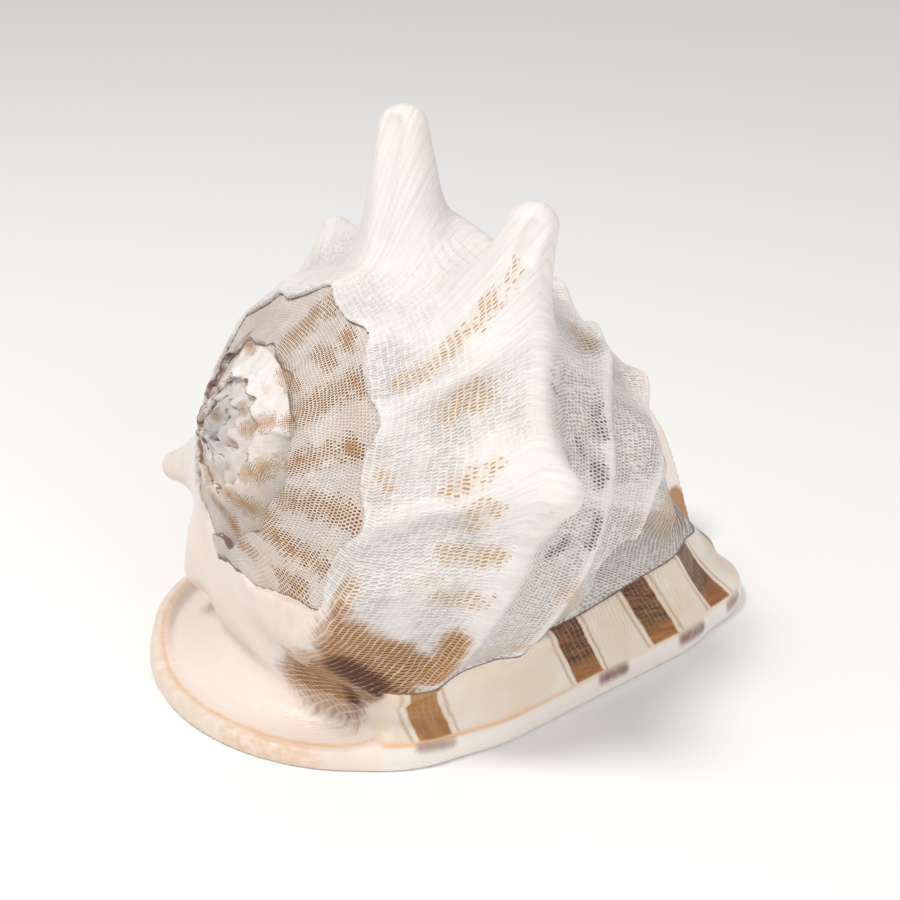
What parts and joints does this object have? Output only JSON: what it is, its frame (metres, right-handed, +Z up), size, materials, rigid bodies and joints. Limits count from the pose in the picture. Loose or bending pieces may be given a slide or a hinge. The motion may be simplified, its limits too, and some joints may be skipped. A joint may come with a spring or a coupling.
{
  "type": "horned helmet shell",
  "caption": "Large horned helmet seashell resting on its aperture, with a low spire, tall shoulder horns, a thick banded lip and a broad glossy shield.",
  "frame": {"origin": "centre of the bounding box on the plane the shell rests on", "axes": "+X from the spire towards the siphonal canal, +Y towards the shield, -Y towards the outer lip, +Z up"},
  "size_m": [0.214, 0.1656, 0.1801],
  "materials": {
    "worn_shell": "matt worn shell, glossy on the shield and lip"
  },
  "bodies": {
    "root": {"shell": "worn_shell"}
  },
  "joints": []
}
